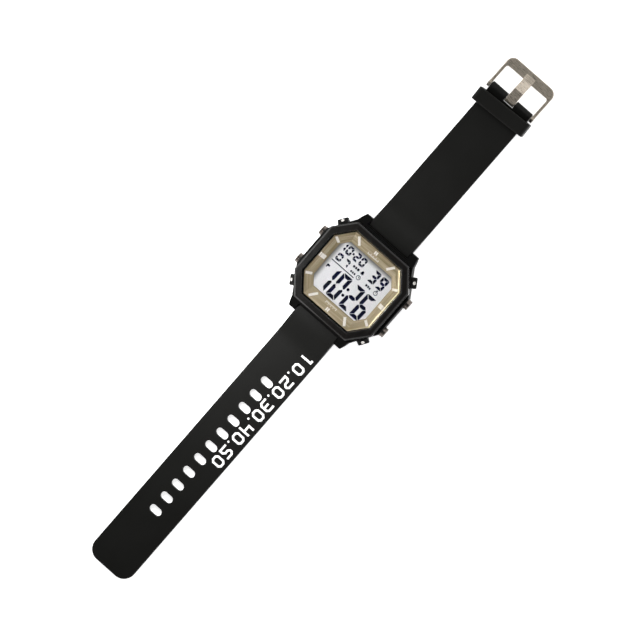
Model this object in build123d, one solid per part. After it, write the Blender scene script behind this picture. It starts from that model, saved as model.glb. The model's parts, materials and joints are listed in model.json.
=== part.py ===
from build123d import *
import math
import os

# Digital wristwatch with an eight-sided case, lying open on a table with its face up.
# Lengths are in millimetres. X points to three o'clock, Y to twelve o'clock, and Z up.
# The origin is the centre of the flat face of the case back.

# Fits and overruns shared by all pieces
running_fit = 0.05
loose_fit = 0.1
cut_overrun = 1.0

# Bezel and the ring under the crystal
bezel_half_x = 19.8
bezel_half_y = 18.85
bezel_cut_x = 6.8
bezel_cut_y = 8.1
bezel_rim_x = 3.15
bezel_rim_y = 3.3
bezel_corner_radius = 1.0
bezel_edge_bevel = 0.6
bezel_inner_bevel = 0.25
bezel_above_crystal = 0.3
crystal_seat_width = 0.6
crystal_thick = 1.3
crystal_edge_bevel = 0.1
crystal_gasket_thick = 0.3
crystal_gap_above_ring = 0.2

ring_cut_x = 5.5
ring_cut_y = 6.7
ring_height = 2.7
ring_lip_width = 0.5
ring_lip_drop = 0.15
ring_edge_width = 0.1
ring_slope_width_x = 2.95
ring_slope_width_y = 4.0
ring_foot_height = 0.5
window_cut_share = 0.52
ring_groove_count = 3
ring_groove_width = 0.25
ring_groove_depth = 0.2
ring_groove_pitch = 0.62
ring_groove_inset = 0.75
ring_groove_clear = 1.3
ring_window_bevel = 0.15
corner_groove_count = 2
corner_groove_low_clear = 1.6
corner_groove_high_clear = 0.8

# Hour markers, each standing on the ring's slope
marker_height = 0.4
bar_marker_width = 1.0
bar_marker_inside_corner = 6.3
bar_marker_above_window = 1.05
bar_marker_from_ring_side = 7.55
bar_marker_from_ring_end = 0.65
side_marker_beside_window = 0.45
side_marker_below_corner = 3.25
side_marker_from_ring_side = 0.85
side_marker_from_ring_end = 6.5
quarter_marker_width = 1.75
quarter_marker_length = 1.85
quarter_marker_beside_window = 0.55
quarter_sliver_length = 0.55
quarter_marker_gap = 0.2
twin_marker_width = 0.6
twin_marker_gap = 0.2
twin_marker_length = 1.4
twin_marker_from_ring_end = 2.0

# Case middle
case_ledge = 1.15
case_base_height = 0.4
case_base_bevel = 0.8
case_top_bevel = 0.35
ring_pocket_depth = 1.3
flank_short_of_bezel = 1.95
cavity_ledge_x = 1.85
cavity_ledge_y = 1.35
cavity_cut = 5.5

# Lugs, and the spring bars that carry the strap
strap_width = 20.0
strap_side_play = 0.1
bar_beyond_bezel = 1.75
bar_height = 3.4
bar_tube_radius = 0.75
bar_tube_wall = 0.22
bar_tip_radius = 0.45
bar_pivot_radius = 0.4
bar_pivot_length = 1.2
bar_flange_length = 0.3
bar_flange_gap = 0.1
bar_tip_travel = 1.1
bar_tip_stem = 3.7
bar_spring_wire = 0.07
bar_spring_turns = 8
lug_tip_thick = 2.9
lug_knee_thick = 3.6
lug_root_thick = 4.1
lug_shoulder_thick = 5.3
lug_tip_beyond_bar = 2.5
lug_knee_beyond_bar = 0.6
lug_root_before_bar = 1.4
lug_shoulder_before_bar = 3.3
lug_slope_start_before_bar = 1.6
lug_slope_start_drop = 0.7
lug_slope_end_drop = 3.1
hood_before_bar = 0.4
strap_barrel_radius = 2.2
strap_recess_gap = 0.3

# Corner tabs with their small screws
tab_length = 4.4
tab_reach = 2.0
tab_root = 1.2
tab_shift = 1.6
tab_low = 2.8
tab_under_slope = 0.8
tab_top = 7.9
tab_face_low = 5.9
tab_face_inset = 1.7
tab_corner_radius = 0.5
corner_screw_head_radius = 0.68
corner_screw_head_thick = 0.4
corner_screw_proud = 0.15
corner_screw_shank_radius = 0.4
corner_screw_shank_length = 1.3
corner_screw_slot = 0.2

# Case back, its gasket and screws
plate_thick = 1.0
plate_inside_flank = 2.95
plate_inside_recess = 1.5
plate_cut_x = 5.6
plate_cut_y = 6.4
plate_edge_bevel = 0.25
plate_ring_radius = 13.5
plate_ring_width = 0.35
plate_ring_depth = 0.12
plate_ring_pitch = 0.9
plate_ring_count = 2
back_gasket_inset = 0.6
back_gasket_width = 0.7
back_gasket_thick = 0.7
back_screw_inset = 1.35
back_screw_head_radius = 1.0
back_screw_head_thick = 0.5
back_screw_sunk = 0.05
back_screw_shank_radius = 0.55
back_screw_shank_length = 3.0
back_screw_slot = 0.25

# Module inside the case
battery_thick = 2.5
battery_wall = 1.3
component_room = 8.0
battery_rim = 1.1
battery_step = 0.25
battery_above_plate = 0.4
battery_contact_radius = 2.2
battery_contact_thick = 0.1
clamp_thick = 0.2
clamp_half_width = 1.6
clamp_past_battery = 1.0
clamp_shift = 1.2
clamp_dimple_radius = 1.4
board_thick = 0.6
board_gap_x = 1.8
board_gap_y = 1.3
guide_thick = 1.0
guide_gap_x = 2.6
guide_gap_y = 0.4
guide_cut = 4.2
film_thick = 0.15
lcd_thick = 1.25
lcd_gap = 1.3
film_inset = 0.2
film_below_ring = 0.05
module_gap = 0.2
module_wall = 0.9
module_above_plate = 0.3
strip_end_room = 6.3
strip_edge_room = 2.0
strip_width = 1.0
chip_side = 4.0
chip_thick = 0.9
chip_edge_room = 1.0
quartz_radius = 0.95
quartz_length = 5.0
quartz_gap = 1.45
led_length = 1.6
led_width = 0.5
led_height = 0.7
led_gap = 0.1
pocket_inner_wall = 0.7
pocket_outer_wall = 1.6
pocket_low_room = 5.2
pocket_high_room = 6.2
buzzer_thick = 0.2
buzzer_from_wall = 7.6
buzzer_clamp_gap = 0.5
buzzer_edge_room = 2.3
buzzer_spring_radius = 0.8
buzzer_spring_wire = 0.13
buzzer_spring_turns = 4
contact_thick = 0.15
contact_half_width = 1.2
contact_foot = 0.55
contact_drop = 0.3
contact_rise = 0.8

# Push buttons
pusher_inside_flank = 1.8
pusher_above_board = 0.2
pusher_head_radius = 2.15
pusher_proud = 1.65
pusher_head_inside = 1.15
pusher_head_bevel = 0.3
pusher_groove_width = 0.3
pusher_groove_depth = 0.2
pusher_groove_from_tip = 0.9
pusher_travel = 0.8
pusher_stop_gap = 0.3
pusher_stem_radius = 0.75
pusher_hollow_radius = 1.75
pusher_hollow_depth = 1.6
pusher_tip_length = 0.7
pusher_spring_wire = 0.15
pusher_spring_coil = 1.35
pusher_spring_turns = 3
clip_radius = 1.15
clip_thick = 0.35
clip_inner_radius = 0.5
clip_mouth = 0.8
seal_core_radius = 0.45
seal_width = 0.35
seal_gap = 0.02
seal_first = 1.2
seal_pitch = 1.2

# Strap halves
strap_thick = 2.2
strap_edge_radius = 0.4
upper_strap_rise = 1.0
strap_swell_length = 15.4
strap_under_length = 8.0
buckle_end_from_bar = 71.15
buckle_barrel_radius = 1.7
buckle_swell_length = 6.0
notch_side_gap = 0.25
notch_behind_pin = 1.7
tail_from_bar = 126.1
tail_corner_radius = 5.2
slot_count = 11
slot_spare = 1.2
slot_width = 3.0
slot_pitch = 6.56
first_slot_from_bar = 31.0

# Keeper loop
keeper_length = 5.8
keeper_side_gap = 0.6
keeper_side_wall = 1.65
keeper_base_wall = 0.9
keeper_top_wall = 1.1
keeper_spare_height = 0.4
keeper_behind_pin = 5.4
keeper_corner_radius = 1.4
keeper_inner_radius = 0.5
keeper_skew = 2.6
keeper_rim_radius = 0.4

# Buckle frame and tongue
frame_arm_gap = 0.2
frame_arm_thick = 1.2
frame_thick = 2.0
frame_reach = 13.85
frame_bar_depth = 4.25
frame_corner_radius = 3.0
frame_inner_radius = 0.9
frame_eye_radius = 1.45
frame_edge_radius = 0.4
frame_arm_radius = 0.3
tongue_width = 4.2
tongue_thick = 0.7
tongue_eye_radius = 1.5
tongue_bend_reach = 4.7
tongue_bend_rise = 0.45
tongue_over_bar = 2.3
tongue_flat_before_bar = 0.25
tongue_rest_gap = 0.05
tongue_edge_radius = 0.15

# Places worked out from the sizes above
ring_half_x = bezel_half_x - bezel_rim_x
ring_half_y = bezel_half_y - bezel_rim_y
window_half_x = ring_half_x - ring_lip_width - ring_slope_width_x
window_half_y = ring_half_y - ring_lip_width - ring_slope_width_y
window_cut_x = ring_cut_x * window_cut_share
window_cut_y = ring_cut_y * window_cut_share
cavity_half_x = ring_half_x - cavity_ledge_x
cavity_half_y = ring_half_y - cavity_ledge_y
case_half_x = bezel_half_x + case_ledge
flank_half_y = bezel_half_y - bezel_cut_y - flank_short_of_bezel

bar_y = bezel_half_y + bar_beyond_bezel
recess_radius = strap_barrel_radius + strap_recess_gap
plate_half_x = case_half_x - plate_inside_flank
plate_half_y = bar_y - recess_radius - plate_inside_recess

battery_low = plate_thick + battery_above_plate
board_low = battery_low + battery_thick + battery_contact_thick
board_top = board_low + board_thick
guide_top = board_top + guide_thick
lcd_low = guide_top + film_thick
lcd_top = lcd_low + lcd_thick
film_top = lcd_top + film_thick
ring_low = film_top + film_below_ring
ring_top = ring_low + ring_height
case_top = ring_low + ring_pocket_depth
crystal_seat = ring_top + crystal_gap_above_ring
crystal_low = crystal_seat + crystal_gasket_thick
crystal_top = crystal_low + crystal_thick
bezel_top = crystal_top + bezel_above_crystal
module_low = plate_thick + module_above_plate

battery_left = module_gap + battery_wall + loose_fit - cavity_half_x
battery_right = cavity_half_x - component_room
battery_half_room_y = cavity_half_y - module_gap - battery_wall - loose_fit
battery_radius = min((battery_right - battery_left) / 2, battery_half_room_y)
battery_x = (battery_left + battery_right) / 2
clamp_reach = battery_radius + loose_fit + clamp_past_battery
strip_y = cavity_half_y - strip_edge_room
strip_half_length = cavity_half_x - strip_end_room
guide_half_x = cavity_half_x - guide_gap_x
guide_half_y = strip_y - strip_width / 2 - guide_gap_y
pocket_x_low = battery_x + battery_radius + loose_fit + pocket_inner_wall
pocket_x_high = cavity_half_x - pocket_outer_wall
pocket_x = (pocket_x_low + pocket_x_high) / 2
pocket_y_low = pocket_low_room - cavity_half_y
pocket_y_high = cavity_half_y - pocket_high_room
chip_y = pocket_y_high - chip_edge_room - chip_side / 2
quartz_y = chip_y - chip_side / 2 - quartz_gap - quartz_radius
buzzer_x = cavity_half_x - buzzer_from_wall
buzzer_high = clamp_shift - clamp_half_width - buzzer_clamp_gap
buzzer_low = buzzer_edge_room - cavity_half_y
buzzer_radius = (buzzer_high - buzzer_low) / 2
buzzer_y = (buzzer_high + buzzer_low) / 2

lug_gap_half = strap_width / 2 + strap_side_play
hood_y = bar_y - hood_before_bar
bar_tip_end = lug_gap_half + bar_pivot_length - bar_flange_gap
bar_flange_outer = lug_gap_half - bar_flange_gap
bar_flange_inner = bar_flange_outer - bar_flange_length
bar_tube_half = bar_flange_inner - bar_tip_travel - running_fit
bar_stem_end = bar_flange_inner - bar_tip_stem

pusher_y = flank_half_y - pusher_inside_flank
pusher_z = board_low + board_thick / 2 + pusher_above_board
pusher_counterbore = case_half_x - pusher_head_inside - pusher_travel - pusher_stop_gap

notch_width = tongue_width + 2 * notch_side_gap
slot_length = tongue_width + slot_spare
keeper_half_width = strap_width / 2 + keeper_side_gap + keeper_side_wall
pin_y = bar_y + buckle_end_from_bar
pin_z = upper_strap_rise + buckle_barrel_radius
frame_swing = math.hypot(frame_reach, frame_thick / 2)
frame_tilt = math.degrees(math.asin(pin_z / frame_swing) - math.atan2(frame_thick / 2, frame_reach))


def octagon_quarter(half_x, half_y, cut_x, cut_y, grow=0.0):
    """Both ends of the upper right corner of an eight-sided outline, its sides pushed out by grow."""
    slant = math.hypot(cut_x, cut_y)
    wide = half_x + grow
    tall = half_y + grow
    run_y = cut_y + grow * (cut_x + cut_y - slant) / cut_x
    run_x = run_y * cut_x / cut_y
    return [(wide, tall - run_y), (wide - run_x, tall)]


def octagon(half_x, half_y, cut_x, cut_y, grow=0.0):
    """Eight-sided outline with cut corners, all its sides pushed out by grow."""
    quarter = octagon_quarter(half_x, half_y, cut_x, cut_y, grow)
    points = quarter + [(-x, y) for x, y in reversed(quarter)]
    points += [(-x, -y) for x, y in points]
    return Polygon(*points, align=None)


def slab(outline, low, high):
    """Straight solid of a flat outline between two heights."""
    return extrude(Pos(0, 0, low) * outline, amount=high - low, dir=(0, 0, 1))


def block(x_low, x_high, y_low, y_high, z_low, z_high):
    """Box between two corners."""
    middle = Pos((x_low + x_high) / 2, (y_low + y_high) / 2, (z_low + z_high) / 2)
    return middle * Box(x_high - x_low, y_high - y_low, z_high - z_low)


def rod(radius, x_start, x_end, y, z):
    """Cylinder along X."""
    middle = Pos((x_start + x_end) / 2, y, z)
    return middle * Rot(0, 90, 0) * Cylinder(radius, abs(x_end - x_start))


def disc(radius, x, y, low, high):
    """Upright cylinder between two heights."""
    return Pos(x, y, (low + high) / 2) * Cylinder(radius, high - low)


def coil(radius, wire_radius, length, turns):
    """Coil spring along Z, standing on z = 0 with its wire's outside."""
    pitch = (length - 2 * wire_radius) / turns
    path = Pos(0, 0, wire_radius) * Helix(pitch, pitch * turns, radius)
    start = Plane(origin=path @ 0, z_dir=path % 0)
    return sweep(start * Circle(wire_radius), path=path)


def on_both_sides(shape):
    """A shape at three o'clock and its mirror image at nine o'clock."""
    return [shape, mirror(shape, about=Plane.YZ)]


def at_four_corners(shape):
    """A shape in the upper right quarter and its three mirror images."""
    right_and_left = on_both_sides(shape)
    return right_and_left + [mirror(one, about=Plane.XZ) for one in right_and_left]


def ring_outline(grow=0.0):
    return octagon(ring_half_x, ring_half_y, ring_cut_x, ring_cut_y, grow)


def window_outline(grow=0.0):
    return octagon(window_half_x, window_half_y, window_cut_x, window_cut_y, grow)


def cavity_outline(grow=0.0):
    return octagon(cavity_half_x, cavity_half_y, cavity_cut, cavity_cut, grow)


def plate_outline(grow=0.0):
    return octagon(plate_half_x, plate_half_y, plate_cut_x, plate_cut_y, grow)


def slotted_screw(head_radius, head_thick, shank_radius, shank_length, slot):
    """Screw along Z, its head's top at z = 0 and its shank below, with one driver slot."""
    head = Pos(0, 0, -head_thick / 2) * Cylinder(head_radius, head_thick)
    shank = Pos(0, 0, -head_thick - shank_length / 2) * Cylinder(shank_radius, shank_length)
    groove = Box(2 * head_radius + cut_overrun, slot, head_thick)
    return head + shank - groove


def case_outline():
    """Plan of the case middle: eight sides, drawn out into lugs at both ends."""
    quarter = [
        (case_half_x, flank_half_y),
        (lug_gap_half + lug_shoulder_thick, bar_y - lug_shoulder_before_bar),
        (lug_gap_half + lug_root_thick, bar_y - lug_root_before_bar),
        (lug_gap_half + lug_knee_thick, bar_y + lug_knee_beyond_bar),
        (lug_gap_half + lug_tip_thick, bar_y + lug_tip_beyond_bar),
    ]
    points = quarter + [(-x, y) for x, y in reversed(quarter)]
    points += [(-x, -y) for x, y in points]
    return Polygon(*points, align=None)


def facet_frame():
    """Middle, outward direction and length of the case's corner facet."""
    start = Vector(case_half_x, flank_half_y)
    end = Vector(lug_gap_half + lug_shoulder_thick, bar_y - lug_shoulder_before_bar)
    along = (end - start).normalized()
    outward = Vector(along.Y, -along.X)
    return (start + end) * (1 / 2) + along * tab_shift, outward, along


def tab_plane():
    """Upright plane across a corner tab: its x points outward and its y up."""
    middle, outward, along = facet_frame()
    return Plane(origin=middle, x_dir=outward, z_dir=Vector(0, 0, 0) - along)


def corner_tab():
    """Moulded tab on a corner facet, with a sloped outer face."""
    side = Polygon(
        (-tab_root, tab_low),
        (tab_reach, tab_low + tab_under_slope),
        (tab_reach, tab_face_low),
        (tab_reach - tab_face_inset, tab_top),
        (-tab_root, tab_top),
        align=None,
    )
    tab = extrude(tab_plane() * side, amount=tab_length / 2, both=True)
    outer = [edge for edge in tab.edges() if distance_outward(edge.center()) > tab_reach / 2]
    along_tab = [edge for edge in outer if edge.length > tab_length - running_fit]
    rounded = [edge for edge in outer if edge not in along_tab]
    return fillet(rounded, tab_corner_radius)


def distance_outward(point):
    """How far a point lies outside the corner facet."""
    middle, outward, along = facet_frame()
    return (Vector(point.X, point.Y) - middle).dot(outward)


def corner_screw_plane(sunk):
    """Plane of a corner screw's head, square to the tab's sloped face."""
    local = tab_plane()
    middle_out = tab_reach - tab_face_inset / 2
    middle_up = (tab_face_low + tab_top) / 2
    rise = tab_top - tab_face_low
    facing = (local.x_dir * rise + local.y_dir * tab_face_inset).normalized()
    origin = local.origin + local.x_dir * middle_out + local.y_dir * middle_up
    return Plane(origin=origin - facing * sunk, x_dir=local.z_dir, z_dir=facing)


def corner_screw():
    screw = slotted_screw(
        corner_screw_head_radius,
        corner_screw_head_thick,
        corner_screw_shank_radius,
        corner_screw_shank_length,
        corner_screw_slot,
    )
    return corner_screw_plane(-corner_screw_proud) * screw


def corner_screw_hole():
    """Pocket for the head and hole for the shank of a corner screw."""
    sunk = corner_screw_head_thick - corner_screw_proud
    pocket = Cylinder(corner_screw_head_radius + running_fit, 2 * sunk)
    depth = corner_screw_shank_length + sunk
    hole = Pos(0, 0, -depth / 2) * Cylinder(corner_screw_shank_radius, depth)
    return corner_screw_plane(0) * (pocket + hole)


def back_screw_place():
    """Centre of the case back screw in the upper right corner."""
    slant = math.hypot(plate_cut_x, plate_cut_y)
    x = plate_half_x - plate_cut_x / 2 - back_screw_inset * plate_cut_y / slant
    y = plate_half_y - plate_cut_y / 2 - back_screw_inset * plate_cut_x / slant
    return x, y


def lug_slope():
    """What is cut off above the lug and the hood, which slope down past the bezel."""
    start = bar_y - lug_slope_start_before_bar
    end = bar_y + lug_tip_beyond_bar
    fall = (lug_slope_end_drop - lug_slope_start_drop) / (end - start)
    far = end + cut_overrun
    side = Polygon(
        (start, case_top + cut_overrun),
        (start, case_top - lug_slope_start_drop),
        (far, case_top - lug_slope_end_drop - fall * cut_overrun),
        (far, case_top + cut_overrun),
        align=None,
    )
    return extrude(Plane.YZ * side, amount=case_half_x, both=True)


def strap_recess():
    """Room between the lugs for the strap's end, open below and outward."""
    far = bar_y + lug_tip_beyond_bar + cut_overrun
    round_room = rod(recess_radius, -lug_gap_half, lug_gap_half, bar_y, bar_height)
    above = block(-lug_gap_half, lug_gap_half, hood_y, far, -cut_overrun, case_top + cut_overrun)
    below = block(-lug_gap_half, lug_gap_half, bar_y - recess_radius, far, -cut_overrun, bar_height)
    return round_room + above + below


def mid_case():
    """Moulded case middle with its lugs, corner tabs, module cavity and bores."""
    body = slab(case_outline(), case_base_height, case_top)
    body = chamfer(body.edges().group_by(Axis.Z)[0], case_base_bevel)
    body = chamfer(body.edges().group_by(Axis.Z)[-1], case_top_bevel)
    for slope in [lug_slope(), mirror(lug_slope(), about=Plane.XZ)]:
        body -= slope
    for tab in at_four_corners(corner_tab()):
        body += tab
    for recess in [strap_recess(), mirror(strap_recess(), about=Plane.XZ)]:
        body -= recess
    body -= slab(cavity_outline(), 0, case_top + cut_overrun)
    body -= slab(ring_outline(running_fit), ring_low, case_top + cut_overrun)
    body -= slab(plate_outline(loose_fit), 0, plate_thick)
    groove_out = back_gasket_inset + back_gasket_width + running_fit
    groove = slab(cavity_outline(groove_out), 0, plate_thick + back_gasket_thick)
    groove -= slab(cavity_outline(back_gasket_inset - running_fit), 0, case_top)
    body -= groove
    screw_x, screw_y = back_screw_place()
    thread_top = plate_thick + back_screw_shank_length
    for hole in at_four_corners(disc(back_screw_shank_radius, screw_x, screw_y, 0, thread_top)):
        body -= hole
    for hole in at_four_corners(corner_screw_hole()):
        body -= hole
    stem_bore = rod(pusher_stem_radius + running_fit, 0, case_half_x, pusher_y, pusher_z)
    outside = case_half_x + cut_overrun
    head_bore = rod(pusher_head_radius + running_fit, pusher_counterbore, outside, pusher_y, pusher_z)
    for bore in at_four_corners(stem_bore + head_bore):
        body -= bore
    pivot_reach = bar_tip_end + loose_fit
    pivots = rod(bar_pivot_radius + running_fit, -pivot_reach, pivot_reach, bar_y, bar_height)
    for pivot in [pivots, mirror(pivots, about=Plane.XZ)]:
        body -= pivot
    return body


def bezel():
    """Eight-sided bezel that holds the crystal."""
    outline = octagon(bezel_half_x, bezel_half_y, bezel_cut_x, bezel_cut_y)
    outline = fillet(outline.vertices(), bezel_corner_radius)
    body = slab(outline, case_top, bezel_top)
    body = chamfer(body.edges().group_by(Axis.Z)[-1], bezel_edge_bevel)
    body -= slab(ring_outline(crystal_seat_width), crystal_seat, bezel_top + cut_overrun)
    body -= bezel_mouth()
    return body - slab(ring_outline(running_fit), case_top, crystal_seat)


def bezel_mouth():
    """Bevel round the top of the opening in the bezel."""
    low = Pos(0, 0, bezel_top - bezel_inner_bevel) * ring_outline(crystal_seat_width)
    high = Pos(0, 0, bezel_top) * ring_outline(crystal_seat_width + bezel_inner_bevel)
    return loft([low.faces()[0], high.faces()[0]], ruled=True)


def crystal():
    """Flat mineral glass, its upper edge bevelled."""
    glass = slab(ring_outline(crystal_seat_width - loose_fit), crystal_low, crystal_top)
    return chamfer(glass.edges().group_by(Axis.Z)[-1], crystal_edge_bevel)


def crystal_gasket():
    outer = slab(ring_outline(crystal_seat_width - running_fit), crystal_seat, crystal_low)
    return outer - slab(ring_outline(running_fit), crystal_seat, crystal_low)


def ring_hollow():
    """The space above the ring's slope and above its lip, which is a little less steep."""
    window = Pos(0, 0, ring_low + ring_foot_height) * window_outline()
    slope_end = Pos(0, 0, ring_top - ring_lip_drop) * ring_outline(-ring_lip_width)
    edge = Pos(0, 0, ring_top) * ring_outline(-ring_edge_width)
    slope = loft([window.faces()[0], slope_end.faces()[0]], ruled=True)
    return slope + loft([slope_end.faces()[0], edge.faces()[0]], ruled=True)


def slope_height(x):
    """Height of the ring's side slope at a distance x from the middle."""
    share = (x - window_half_x) / ring_slope_width_x
    return ring_low + ring_foot_height + share * (ring_height - ring_lip_drop - ring_foot_height)


def corner_groove(row):
    """One of the fine grooves along the ring's upper right corner facet."""
    inset = ring_lip_width + ring_groove_inset + row * ring_groove_pitch
    ends = octagon_quarter(ring_half_x, ring_half_y, ring_cut_x, ring_cut_y, -inset)
    low_end, high_end = [Vector(x, y) for x, y in ends]
    along = (high_end - low_end).normalized()
    start = low_end + along * corner_groove_low_clear
    end = high_end - along * corner_groove_high_clear
    plan = plan_bar((start.X, start.Y), (end.X, end.Y), ring_groove_width)
    return plan & (Pos(0, 0, -ring_groove_depth) * ring_hollow())


def dial_ring():
    """Sloped ring round the display window, with fine grooves along its sides and corners."""
    body = slab(ring_outline(), ring_low, ring_top)
    body -= slab(window_outline(), ring_low, ring_low + ring_foot_height)
    body -= ring_hollow()
    foot = ring_low + ring_foot_height
    body = chamfer(body.edges().filter_by_position(Axis.Z, foot, foot), ring_window_bevel)
    groove_end = window_half_y - window_cut_y
    for row in range(ring_groove_count):
        x = ring_half_x - ring_lip_width - ring_groove_inset - row * ring_groove_pitch
        floor = slope_height(x) - ring_groove_depth
        groove = block(x, x + ring_groove_width, ring_groove_clear, groove_end, floor, ring_top)
        for one in at_four_corners(groove):
            body -= one
    for row in range(corner_groove_count):
        for one in at_four_corners(corner_groove(row)):
            body -= one
    return body


def plan_bar(start, end, width):
    """Upright bar between two points of the plan, taller than the ring."""
    run = Vector(end[0] - start[0], end[1] - start[1])
    angle = math.degrees(math.atan2(run.Y, run.X))
    middle = Pos((start[0] + end[0]) / 2, (start[1] + end[1]) / 2, (ring_low + ring_top) / 2)
    return middle * Rot(0, 0, angle) * Box(run.length, width, 2 * ring_height)


def hour_markers():
    """Raised markers that stand on the slope at each hour."""
    inner = (window_half_x - bar_marker_inside_corner, window_half_y + bar_marker_above_window)
    outer = (ring_half_x - bar_marker_from_ring_side, ring_half_y - bar_marker_from_ring_end)
    plans = at_four_corners(plan_bar(inner, outer, bar_marker_width))
    inner = (window_half_x + side_marker_beside_window, window_half_y - side_marker_below_corner)
    outer = (ring_half_x - side_marker_from_ring_side, ring_half_y - side_marker_from_ring_end)
    plans += at_four_corners(plan_bar(inner, outer, bar_marker_width))
    block_start = window_half_x + quarter_marker_beside_window
    block_end = block_start + quarter_marker_length
    sliver_start = block_end + quarter_marker_gap
    sliver_end = sliver_start + quarter_sliver_length
    for start, end in [(block_start, block_end), (sliver_start, sliver_end)]:
        plans += on_both_sides(plan_bar((start, 0), (end, 0), quarter_marker_width))
    twin_x = (twin_marker_width + twin_marker_gap) / 2
    twin_y = ring_half_y - twin_marker_from_ring_end
    twin_start = (twin_x, twin_y)
    twin_end = (twin_x, twin_y + twin_marker_length)
    plans += at_four_corners(plan_bar(twin_start, twin_end, twin_marker_width))
    skin = ring_hollow() - Pos(0, 0, marker_height) * ring_hollow()
    return [plan & skin for plan in plans]


def case_back():
    """Flat steel back plate with four counterbored screw holes and two fine turned rings."""
    plate = slab(plate_outline(), 0, plate_thick)
    plate = chamfer(plate.edges().group_by(Axis.Z)[0], plate_edge_bevel)
    screw_x, screw_y = back_screw_place()
    hole = disc(back_screw_shank_radius + running_fit, screw_x, screw_y, 0, plate_thick)
    sunk = back_screw_sunk + back_screw_head_thick
    seat = disc(back_screw_head_radius + running_fit, screw_x, screw_y, 0, sunk)
    for one in at_four_corners(hole + seat):
        plate -= one
    for row in range(plate_ring_count):
        outer = plate_ring_radius - row * plate_ring_pitch
        groove = disc(outer, 0, 0, 0, plate_ring_depth)
        plate -= groove - disc(outer - plate_ring_width, 0, 0, 0, plate_ring_depth)
    return plate


def case_back_screws():
    screw = slotted_screw(
        back_screw_head_radius,
        back_screw_head_thick,
        back_screw_shank_radius,
        back_screw_shank_length,
        back_screw_slot,
    )
    screw_x, screw_y = back_screw_place()
    return at_four_corners(Pos(screw_x, screw_y, back_screw_sunk) * Rot(180, 0, 0) * screw)


def back_gasket():
    high = plate_thick + back_gasket_thick
    outer = slab(cavity_outline(back_gasket_inset + back_gasket_width), plate_thick, high)
    return outer - slab(cavity_outline(back_gasket_inset), plate_thick, high)


def module_frame():
    """Plastic carrier that holds the battery, the board and the display."""
    body = slab(cavity_outline(-module_gap), module_low, lcd_top)
    body -= slab(cavity_outline(-module_gap - module_wall), board_low, lcd_top)
    body -= disc(battery_radius + loose_fit, battery_x, 0, 0, board_low)
    body -= block(pocket_x_low, pocket_x_high, pocket_y_low, pocket_y_high, 0, board_low)
    reach = clip_radius + loose_fit
    board_half_x = cavity_half_x - board_gap_x
    window = block(
        board_half_x, cavity_half_x, pusher_y - reach, pusher_y + reach, pusher_z - reach, pusher_z + reach
    )
    for one in at_four_corners(window):
        body -= one
    return body


def circuit_board():
    half_x = cavity_half_x - board_gap_x
    half_y = cavity_half_y - board_gap_y
    return slab(octagon(half_x, half_y, cavity_cut, cavity_cut), board_low, board_top)


def light_guide():
    return slab(octagon(guide_half_x, guide_half_y, guide_cut, guide_cut), board_top, guide_top)


def rear_reflector():
    return slab(octagon(guide_half_x, guide_half_y, guide_cut, guide_cut), guide_top, lcd_low)


def lcd_cell():
    return slab(cavity_outline(-lcd_gap), lcd_low, lcd_top)


def front_polariser():
    return slab(cavity_outline(-lcd_gap - film_inset), lcd_top, film_top)


def connector_strips():
    """Rubber strips that join the board to both edges of the display."""
    low_y = strip_y - strip_width / 2
    strip = block(-strip_half_length, strip_half_length, low_y, low_y + strip_width, board_top, lcd_low)
    return [strip, mirror(strip, about=Plane.XZ)]


def driver_chip():
    half = chip_side / 2
    low = board_low - chip_thick
    chip = block(pocket_x - half, pocket_x + half, chip_y - half, chip_y + half, low, board_low)
    return chamfer(chip.edges().group_by(Axis.Z)[0], chip_thick / 4)


def quartz_crystal():
    z = board_low - quartz_radius
    return rod(quartz_radius, pocket_x - quartz_length / 2, pocket_x + quartz_length / 2, quartz_y, z)


def backlight_led():
    outer = -guide_half_x - led_gap
    return block(outer - led_width, outer, -led_length / 2, led_length / 2, board_top, board_top + led_height)


def battery_cell():
    """Coin cell: a wide can with a smaller cap below it."""
    cap_top = battery_low + battery_step
    can = disc(battery_radius, battery_x, 0, cap_top, battery_low + battery_thick)
    return can + disc(battery_radius - battery_rim, battery_x, 0, battery_low, cap_top)


def battery_contact():
    low = battery_low + battery_thick
    return disc(battery_contact_radius, battery_x, 0, low, board_low)


def battery_clamp():
    """Sprung strip under the battery, with a dimple that presses on it."""
    low = module_low - clamp_thick
    strip = block(
        battery_x - clamp_reach, battery_x + clamp_reach,
        clamp_shift - clamp_half_width, clamp_shift + clamp_half_width,
        low, module_low,
    )
    return strip + disc(clamp_dimple_radius, battery_x, clamp_shift, module_low, battery_low)


def button_contacts():
    """Leaf springs on the board's edge, one behind each push button."""
    edge_x = cavity_half_x - board_gap_x
    low_y = pusher_y - contact_half_width
    high_y = pusher_y + contact_half_width
    outer = edge_x + running_fit + contact_thick
    leaf_low = board_low - contact_drop
    leaf = block(edge_x + running_fit, outer, low_y, high_y, leaf_low, board_top + contact_rise)
    foot = block(edge_x - contact_foot, outer, low_y, high_y, board_top, board_top + contact_thick)
    return at_four_corners(leaf + foot)


def buzzer_disc():
    return disc(buzzer_radius, buzzer_x, buzzer_y, plate_thick, plate_thick + buzzer_thick)


def buzzer_spring():
    low = plate_thick + buzzer_thick
    spring = coil(buzzer_spring_radius, buzzer_spring_wire, board_low - low, buzzer_spring_turns)
    return Pos(pocket_x, buzzer_y, low) * spring


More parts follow.
